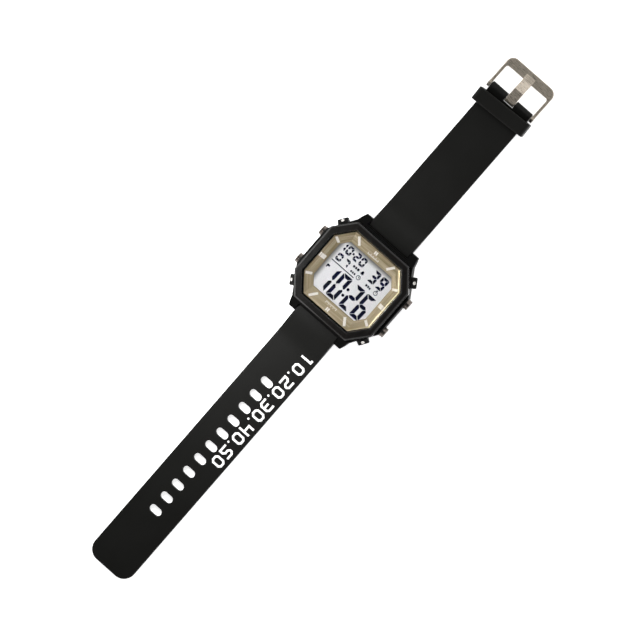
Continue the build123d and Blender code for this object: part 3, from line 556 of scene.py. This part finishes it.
def gunmetal_plating():
    """Push buttons in polished gunmetal plating: dark chrome that mirrors its surroundings."""
    made, tree, shader = new_material("gunmetal_plating")
    haze = grain(tree, 0.3)
    join(tree, shader, {
        "Base Color": shades(tree, haze, "#5e5854", "#726b66"),
        "Metallic": 1.0,
        "Roughness": between(tree, haze, 0.12, 0.18),
        "Normal": relief(tree, haze, 0.0008, 0.08),
    })
    return made


def spring_wire():
    """Drawn spring wire, grey with fine lines along its length."""
    made, tree, shader = new_material("drawn_spring_wire")
    drawn = grain(tree, 0.05)
    join(tree, shader, {
        "Base Color": shades(tree, drawn, "#a3a3a3", "#bcbcbc"),
        "Metallic": 1.0,
        "Roughness": between(tree, drawn, 0.22, 0.34),
    })
    return made


def centreless_ground_steel():
    """Spring bars of ground stainless: smooth, with fine rings round them."""
    made, tree, shader = new_material("ground_bar_steel")
    rings = grain(tree, 0.06, (1.0, 0.05, 0.05))
    join(tree, shader, {
        "Base Color": shades(tree, rings, "#b0afad", "#c4c3c1"),
        "Metallic": 1.0,
        "Roughness": between(tree, rings, 0.2, 0.3),
    })
    return made


def strap_resin():
    """Moulded polyurethane strap: matt black-olive with the fine blasted grain of its mould."""
    made, tree, shader = new_material("matt_strap_resin")
    fine = grain(tree, 0.14, detail=3.0)
    cloud = grain(tree, 14.0, seed=3.0)
    join(tree, shader, {
        "Base Color": shades(tree, cloud, "#080806", "#0c0c0a"),
        "Roughness": between(tree, fine, 0.42, 0.5),
        "IOR": 1.5,
        "Specular IOR Level": 0.15,
        "Normal": relief(tree, fine, 0.008, 0.2),
    })
    return made


def brushed_steel(name, dark, light):
    """Stainless steel of the buckle, brushed across the strap and a little warm in tone."""
    made, tree, shader = new_material(name)
    line = grain(tree, 0.09, (0.04, 1.0, 1.0), 3.0)
    join(tree, shader, {
        "Base Color": shades(tree, line, dark, light),
        "Metallic": 1.0,
        "Roughness": between(tree, line, 0.24, 0.36),
        "Normal": relief(tree, line, 0.003, 0.12),
    })
    return made


def segment_ink():
    """Darkened liquid crystal: deep navy, nearly black."""
    made, tree, shader = new_material("dark_liquid_crystal")
    join(tree, shader, {
        "Base Color": shades(tree, grain(tree, 3.0), "#040320", "#090631"),
        "Roughness": 0.2,
        "IOR": 1.5,
        "Specular IOR Level": 0.2,
    })
    return made


def segment_shade():
    """Painted shadow of the dark segments: a pale grey sheet coloured as the shade they would throw on the
    reflector behind them.
    """
    made, tree, shader = new_material("segment_shade")
    join(tree, shader, {
        "Base Color": shades(tree, grain(tree, 0.2), "#c6c7d2", "#cecfd9"),
        "Roughness": 0.4,
        "IOR": 1.49,
    })
    return made


def pad_print(name, dark, light):
    """Opaque pad printing ink with a slightly uneven edge to its gloss."""
    made, tree, shader = new_material(name)
    mottle = grain(tree, 0.2)
    join(tree, shader, {
        "Base Color": shades(tree, mottle, dark, light),
        "Roughness": between(tree, mottle, 0.4, 0.5),
        "IOR": 1.5,
    })
    return made


def opal_acrylic():
    """Matt white table of opal acrylic, lit softly from below, so it throws hardly any shadow back."""
    made, tree, shader = new_material("opal_acrylic")
    tooth = grain(tree, 0.5)
    join(tree, shader, {
        "Base Color": shades(tree, tooth, "#f3f3f2", "#f8f8f7"),
        "Roughness": between(tree, tooth, 0.75, 0.85),
        "IOR": 1.49,
        "Emission Color": colour("#ffffff"),
        "Emission Strength": floor_glow,
    })
    return made


finishes = {
    "case_resin": satin_resin,
    "bezel_resin": gloss_resin,
    "crystal_glass": mineral_glass,
    "seal_rubber": nitrile_rubber,
    "ring_champagne": champagne_plating,
    "marker_metal": diamond_cut_metal,
    "screw_steel": polished_screw_steel,
    "back_steel": brushed_back_steel,
    "module_plastic": acetal,
    "display_glass": cell_glass,
    "display_face": polariser_film_with_painted_shade,
    "reflector_film": silvered_film,
    "guide_acrylic": clear_acrylic,
    "strip_rubber": zebra_rubber,
    "board_laminate": solder_mask,
    "chip_resin": black_epoxy,
    "quartz_can": tinned_can,
    "led_plastic": lamp_resin,
    "battery_steel": nickelled_steel,
    "contact_metal": gilt_bronze,
    "buzzer_brass": buzzer_brass,
    "button_metal": gunmetal_plating,
    "spring_steel": spring_wire,
    "bar_steel": centreless_ground_steel,
    "strap_resin": strap_resin,
    "buckle_steel": lambda: brushed_steel("brushed_buckle_steel", "#857d72", "#a1998c"),
}
# The tongue shares the buckle's slot; its steel is painted lighter than the frame round it, as painted light
# for the brighter tone its sloping halves catch
finishes_by_node = {
    "buckle_tongue": lambda: brushed_steel("tongue_steel_painted_lighter", "#b5aa9c", "#dbd0c0"),
}


def dress_frame():
    """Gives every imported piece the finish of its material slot, or its own finish if it has one."""
    made = {name: make() for name, make in finishes.items()}
    made_by_node = {name: make() for name, make in finishes_by_node.items()}
    for subpart in frame["record"]["subparts"]:
        node = subpart["node"]
        finish = made_by_node.get(node, made[subpart["material_slot"]])
        for place in frame["nodes"][node].material_slots:
            place.material = finish


def springs_that_shorten():
    """Coil springs of the buttons and spring bars. Each is shown by the length between its fixed end and the
    stem or tip that rests on it, as a rigid piece of the joint's parent body."""
    for joint in frame["record"]["behaviour"]["joints"]:
        for spring in joint.get("deforming_nodes", []):
            node = frame["nodes"][spring["node"]]
            fixed = spring["fixed_end_x_m"]
            side = -joint["axis"][0]
            mesh = node.data.copy()
            keep_side_of(mesh, fixed, side)
            piece = bpy.data.objects.new(joint["name"] + "_coils", mesh)
            bpy.context.scene.collection.objects.link(piece)
            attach(piece, joint["parent"])
            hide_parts(spring["node"])
            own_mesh(piece)


def keep_side_of(mesh, fixed, side):
    """Cuts a mesh that reaches across the plane x = fixed, keeps the given side and closes the cut."""
    if min(side * (vertex.co.x - fixed) for vertex in mesh.vertices) > -spring_past_end_mm * mm:
        return
    build = bmesh.new()
    build.from_mesh(mesh)
    everything = build.verts[:] + build.edges[:] + build.faces[:]
    bmesh.ops.bisect_plane(
        build, geom=everything, plane_co=(fixed, 0, 0), plane_no=(side, 0, 0), clear_inner=True)
    bmesh.ops.remove_doubles(build, verts=build.verts, dist=same_point_mm * mm)
    bmesh.ops.holes_fill(build, edges=[edge for edge in build.edges if edge.is_boundary])
    bmesh.ops.recalc_face_normals(build, faces=build.faces)
    build.to_mesh(mesh)
    build.free()


def prism_piece(name, outlines, span_at, finish, body):
    """One object of thin upright prisms. Each outline is a list of (x, y) in metres, and span_at gives
    the lowest and highest z at a point of the plan."""
    mesh = bpy.data.meshes.new(name)
    build = bmesh.new()
    for outline in outlines:
        spans = [(point, span_at(*point)) for point in outline]
        foot = [build.verts.new((*point, span[0])) for point, span in spans]
        head = [build.verts.new((*point, span[1])) for point, span in spans]
        build.faces.new(head)
        build.faces.new(list(reversed(foot)))
        for here in range(len(outline)):
            there = (here + 1) % len(outline)
            build.faces.new([foot[here], foot[there], head[there], head[here]])
    bmesh.ops.recalc_face_normals(build, faces=build.faces)
    build.to_mesh(mesh)
    build.free()
    piece = bpy.data.objects.new(name, mesh)
    bpy.context.scene.collection.objects.link(piece)
    mesh.materials.append(finish)
    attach(piece, body)
    return piece


# The seven segments by letter, and those that each digit lights
lit_segments = {
    "0": "abcdef", "1": "bc", "2": "abged", "3": "abgcd", "4": "fgbc",
    "5": "afgcd", "6": "afgedc", "7": "abc", "8": "abcdefg", "9": "abcdfg",
}


def segment_outlines(width, height, stroke):
    """Outlines of the seven segments of one digit: mitred, with gaps between them and cut outer corners."""
    middle = height / 2
    half = stroke / 2
    gap = stroke * segment_gap_share
    tip = stroke * segment_tip_share
    cut = digit_corner_cut_mm
    near = (cut - gap) / 2
    far = (cut + gap) / 2
    top = [
        (far, height - near), (cut, height), (width - cut, height), (width - far, height - near),
        (width - stroke - gap, height - stroke), (stroke + gap, height - stroke),
    ]
    upper_left = [
        (near, height - far), (0, height - cut), (0, middle + gap + tip), (tip, middle + gap),
        (stroke, middle + gap + stroke - tip), (stroke, height - stroke - gap),
    ]
    inner = tip + gap
    centre = [
        (inner, middle), (inner + half, middle - half), (width - inner - half, middle - half),
        (width - inner, middle), (width - inner - half, middle + half), (inner + half, middle + half),
    ]
    outlines = {"a": top, "f": upper_left, "g": centre}
    outlines["d"] = [(x, height - y) for x, y in reversed(top)]
    outlines["e"] = [(x, height - y) for x, y in reversed(upper_left)]
    outlines["b"] = [(width - x, y) for x, y in reversed(upper_left)]
    outlines["c"] = [(width - x, y) for x, y in reversed(outlines["e"])]
    return outlines


def rectangle(left, right, foot, top):
    return [(left, foot), (right, foot), (right, top), (left, top)]


def polygon_round(x, y, radius):
    turns = [math.tau * step / round_steps for step in range(round_steps)]
    return [(x + radius * math.cos(turn), y + radius * math.sin(turn)) for turn in turns]


def ring_outlines(x, y, radius, stroke):
    """A thin ring as a row of short blocks round a circle."""
    inner = polygon_round(x, y, radius - stroke)
    outer = polygon_round(x, y, radius)
    count = len(inner)
    return [[inner[i], outer[i], outer[(i + 1) % count], inner[(i + 1) % count]] for i in range(count)]


def digit_row(text, right, foot, height, width, gap, stroke, narrow):
    """Outlines of one row of the display, written from its right end."""
    outlines = []
    edge = right
    middle = foot + height / 2
    parts = segment_outlines(width, height, stroke)
    for sign in reversed(text):
        left = edge - (width if sign.isdigit() else narrow)
        centre = (left + edge) / 2
        if sign == ":":
            for share in colon_height_shares:
                outlines.append(polygon_round(centre, foot + height * share, stroke * colon_radius_share))
        elif sign == "-":
            long, thick = dash_length_mm / 2, stroke / 2
            outlines.append(rectangle(centre - long, centre + long, middle - thick, middle + thick))
        else:
            outlines += [[(left + x, foot + y) for x, y in parts[letter]] for letter in lit_segments[sign]]
        edge = left - gap
    lean = math.tan(math.radians(display_slant_degrees))
    return [[(x + (y - middle) * lean, y) for x, y in outline] for outline in outlines]


def placed(shares, x, y, size):
    """An outline given in shares of a size, at its place."""
    return [(x + size * across, y + size * up) for across, up in shares]


def icon_outlines():
    """Small plain signs between the digits: a clock, a stopwatch, a bell and a flag."""
    stroke = icon_stroke_mm
    half = stroke / 2
    x, y, radius = clock_icon_mm
    outlines = ring_outlines(x, y, radius, stroke)
    outlines.append(rectangle(x - half, x + half, y, y + radius * long_hand_share))
    outlines.append(rectangle(x, x + radius * short_hand_share, y - half, y + half))
    x, y, radius = timer_icon_mm
    foot = y + radius * knob_foot_share
    outlines += ring_outlines(x, y, radius, stroke)
    outlines.append(rectangle(x - stroke, x + stroke, y + radius, foot))
    outlines.append(rectangle(x - 2 * stroke, x + 2 * stroke, foot, y + radius * knob_top_share))
    outlines.append(rectangle(x - half, x + half, y, y + radius * long_hand_share))
    outlines += [placed(shares, *bell_icon_mm) for shares in (bell_shares, clapper_shares)]
    outlines.append(placed(flag_shares, *flag_icon_mm))
    return outlines


def display_signs():
    """Dark segments of the display, and beneath them a shifted pale grey copy as their painted shadow."""
    outlines = [outline for row in display_rows_mm for outline in digit_row(*row)]
    outlines += [rectangle(*bar) for bar in display_bars_mm]
    outlines += icon_outlines()
    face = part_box("front_polariser")[1].z
    # display_shade is a painted shadow: a shifted pale grey copy of the signs just above the film
    for name, shift_mm, rise_mm, finish in [
        ("display_shade", shade_shift_mm, shade_rise_mm, segment_shade()),
        ("display_digits", (0, 0), digit_rise_mm, segment_ink()),
    ]:
        right, up = shift_mm
        plan = [[((x + right) * mm, (y + up) * mm) for x, y in one] for one in outlines]
        span = (face, face + rise_mm * mm)
        prism_piece(name, plan, lambda x, y: span, finish, "case")


def surface_of(node):
    """Ray-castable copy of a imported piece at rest."""
    piece = frame["nodes"][node]
    return BVHTree.FromPolygons(
        [piece.matrix_world @ vertex.co for vertex in piece.data.vertices],
        [tuple(face.vertices) for face in piece.data.polygons],
    )


def drop(tree, x, y):
    """Height of a surface straight below a point of the plan."""
    hit = tree.ray_cast(Vector((x, y, cad_high.z + mm)), Vector((0, 0, -1)))
    return hit[0].z


def printed_on(node):
    """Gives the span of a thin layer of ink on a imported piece, at a point of the plan."""
    surface = surface_of(node)
    thick = print_thick_mm * mm

    def span_at(x, y):
        height = drop(surface, x, y)
        return height - thick, height + thick

    return span_at


def ring_ticks():
    """Two rows of fine printed ticks on the ring's slopes at twelve and six o'clock."""
    outlines = []
    half = tick_width_mm / 2
    foot = tick_middle_y_mm - long_tick_length_mm / 2
    for number in range(tick_count):
        x = (number - (tick_count - 1) / 2) * tick_pitch_mm
        top = foot + (tick_length_mm if number % long_tick_every else long_tick_length_mm)
        tick = rectangle(x - half, x + half, foot, top)
        outlines += [[(x * mm, end * y * mm) for x, y in tick] for end in (1, -1)]
    finish = pad_print("ring_print", "#efe7da", "#f7f1e7")
    prism_piece("ring_ticks", outlines, printed_on("dial_ring"), finish, "case")


def strap_digit_lines():
    """Centre lines of the digits on the strap: squared strokes with cut corners, from (0, 0) to the size."""
    wide = strap_digit_width_mm - strap_stroke_mm
    tall = strap_digit_height_mm - strap_stroke_mm
    cut = strap_corner_cut_mm
    middle = tall / 2
    inside = wide - strap_stroke_mm
    two = [(0, tall), (wide - cut, tall), (wide, tall - cut), (wide, middle + cut), (wide - cut, middle),
           (cut, middle), (0, middle - cut), (0, 0), (wide, 0)]
    return {
        "0": [[(cut, 0), (wide - cut, 0), (wide, cut), (wide, tall - cut), (wide - cut, tall),
               (cut, tall), (0, tall - cut), (0, cut), (cut, 0)]],
        "1": [[(wide / 2 - cut, tall), (wide / 2, tall), (wide / 2, 0)]],
        "2": [two],
        "3": [[(0, tall), (wide - cut, tall), (wide, tall - cut), (wide, cut), (wide - cut, 0), (0, 0)],
              [(cut, middle), (inside, middle)]],
        "4": [[(wide, tall), (wide, 0)], [(0, tall), (0, middle), (inside, middle)]],
        "5": [[(wide - x, y) for x, y in reversed(two)]],
    }


def stroke_blocks(points, half):
    """Outlines of a stroke along points: a block for each run, its ends cut to meet the next run."""
    outlines = []
    closed = points[0] == points[-1]
    for index in range(len(points) - 1):
        start, end = Vector(points[index]), Vector(points[index + 1])
        along = (end - start).normalized()
        side = Vector((-along.y, along.x)) * half
        before = points[index - 1] if index else (points[-2] if closed else None)
        after = points[index + 2] if index + 2 < len(points) else (points[1] if closed else None)
        first = mitre(before, start, along, side, half, -1)
        last = mitre(after, end, along, side, half, 1)
        outlines.append([tuple(first[1]), tuple(last[1]), tuple(last[0]), tuple(first[0])])
    return outlines


def mitre(neighbour, corner, along, side, half, way):
    """Left and right corners of a stroke's end, square where it is free and mitred where it turns."""
    if neighbour is None:
        tip = corner + along * (half * way)
        return tip + side, tip - side
    other = (Vector(neighbour) - corner).normalized() * way
    lean = (along + other).normalized()
    across = Vector((-lean.y, lean.x))
    reach = half / max(across.dot(side.normalized()), least_mitre_share)
    return corner + across * reach, corner - across * reach


def strap_row_piece():
    """Row of plain numbers printed along the edge of the lower strap half, their feet to the slots."""
    lines = strap_digit_lines()
    half = strap_stroke_mm / 2
    outlines = []
    place = 0.0
    for sign in strap_row:
        if sign == ".":
            here = [polygon_round(half, half, half)]
            step = strap_stroke_mm + strap_digit_gap_mm
        else:
            here = [block for line in lines[sign] for block in stroke_blocks(line, half)]
            here = [[(u + half, v + half) for u, v in block] for block in here]
            step = strap_digit_width_mm + strap_digit_gap_mm
        for outline in here:
            outlines.append([
                ((strap_row_foot_mm + v) * mm, (strap_row_start_mm - place - u) * mm) for u, v in outline
            ])
        place += step
    finish = pad_print("white_strap_print", "#f6f6f4", "#fdfdfc")
    prism_piece("strap_numbers", outlines, printed_on("strap_lower"), finish, "lower_strap")


def white_table():
    bpy.ops.mesh.primitive_plane_add(size=2 * floor_half_mm * mm, location=(0, 0, -floor_drop_mm * mm))
    table = bpy.context.object
    table.name = "white_table"
    table.data.materials.append(opal_acrylic())


def softbox(name, place_mm, aim_mm, size_mm, power):
    """Square studio lamp that faces a point of the watch, out of the camera's sight."""
    lamp = bpy.data.lights.new(name, "AREA")
    lamp.size = size_mm * mm
    lamp.energy = power
    holder = bpy.data.objects.new(name, lamp)
    holder.location = Vector(place_mm) * mm
    holder.rotation_euler = (Vector(aim_mm) - Vector(place_mm)).to_track_quat("-Z", "Y").to_euler()
    holder.visible_camera = False
    bpy.context.scene.collection.objects.link(holder)


def studio_sky():
    """Light tent: bright all round its sides, and dim above the camera."""
    world = bpy.data.worlds.new("studio_sky")
    world.use_nodes = True
    tree = world.node_tree
    way = add(tree, "TexCoord").outputs["Generated"]
    height = add(tree, "SeparateXYZ", inputs={"Vector": way}).outputs["Z"]
    ramp = add(tree, "ValToRGB", inputs={"Fac": height})
    stops = ramp.color_ramp.elements
    for place, _ in sky_stops[1:-1]:
        stops.new(place)
    for stop, (_, brightness) in zip(stops, sky_stops):
        stop.color = (brightness, brightness, brightness, 1.0)
    join(tree, tree.nodes["Background"], {"Color": ramp.outputs["Color"]})
    bpy.context.scene.world = world


def photo_camera():
    """Long lens almost straight above, turned so that twelve o'clock points to the upper right."""
    tilt = math.tan(math.radians(camera_tilt_degrees))
    lean = math.tan(math.radians(camera_side_degrees))
    turn = math.radians(watch_turn_degrees)
    distance = photo_pixels / pixels_per_mm * lens_mm / sensor_mm * mm
    back = Vector((lean, tilt, 1)).normalized()
    up = Vector((-math.sin(turn), math.cos(turn), 0))
    right = up.cross(back).normalized()
    up = back.cross(right)
    lens = bpy.data.cameras.new("photo_camera")
    lens.lens = lens_mm
    lens.sensor_width = sensor_mm
    lens.clip_start = nearest_seen_mm * mm
    lens.clip_end = farthest_seen_mm * mm
    camera = bpy.data.objects.new("photo_camera", lens)
    bpy.context.scene.collection.objects.link(camera)
    camera.location = Vector(aim_mm) * mm + back * distance
    camera.rotation_euler = Matrix((right, up, back)).transposed().to_euler()
    bpy.context.scene.camera = camera


dress_frame()
springs_that_shorten()
display_signs()
ring_ticks()
strap_row_piece()
white_table()
studio_sky()
for lamp in softboxes:
    softbox(*lamp)
photo_camera()
bpy.context.scene.view_settings.view_transform = "Standard"
